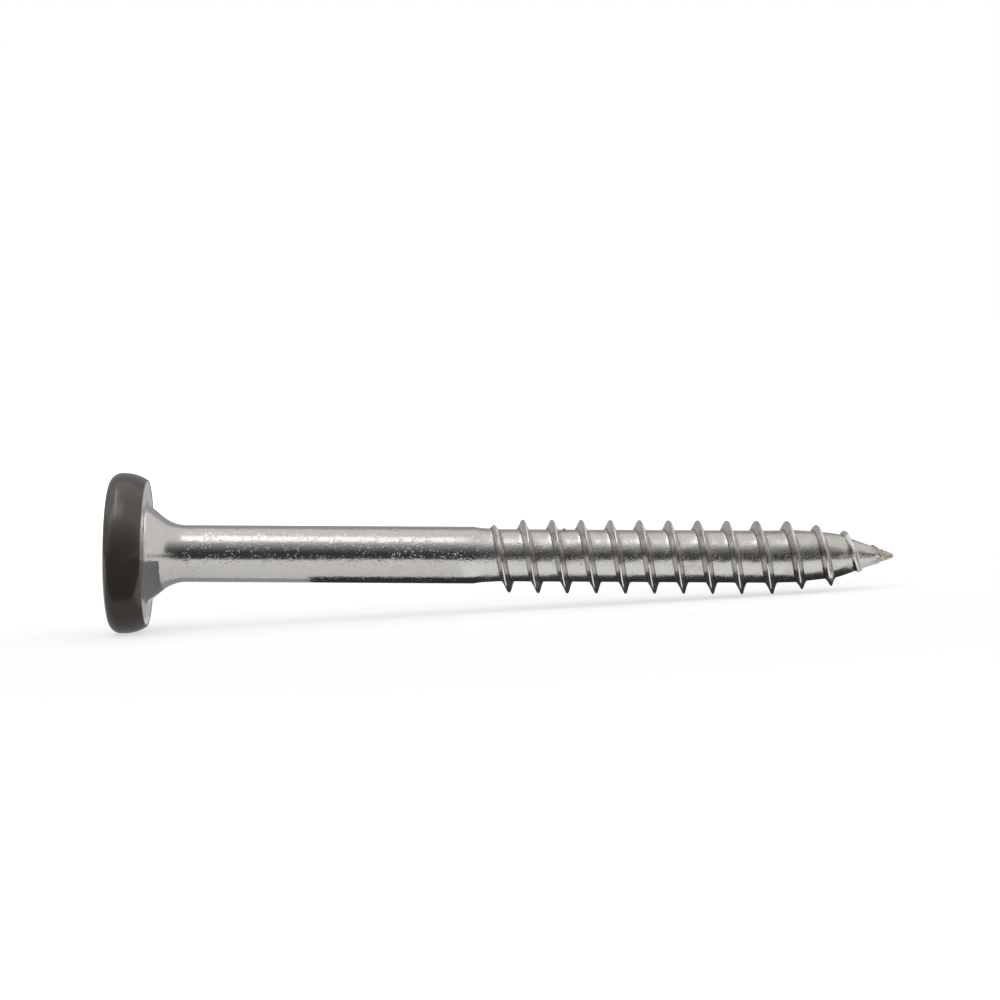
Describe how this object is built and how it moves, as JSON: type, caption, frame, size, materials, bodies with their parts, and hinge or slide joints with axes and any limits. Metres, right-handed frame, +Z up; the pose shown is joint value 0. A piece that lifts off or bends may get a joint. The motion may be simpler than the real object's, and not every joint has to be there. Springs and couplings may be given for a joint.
{
  "type": "deck screw",
  "caption": "Partially threaded wood screw with a thick flat washer-like head, six-lobe drive socket, flared neck, plain shank and sharp point, lying on its side.",
  "frame": {"origin": "on the screw's axis, in the plane of the bearing face under the head", "axes": "+Z up with the screw lying at rest; the screw runs from its head towards its point along +X, and its axis falls 3.76 degrees below +X"},
  "size_m": [0.0602, 0.0122, 0.0123],
  "materials": {
    "steel": "bright, rolled and slightly pitted",
    "head_paint": "satin taupe brown coat on the head"
  },
  "bodies": {
    "root": {"screw": "steel"}
  },
  "joints": []
}
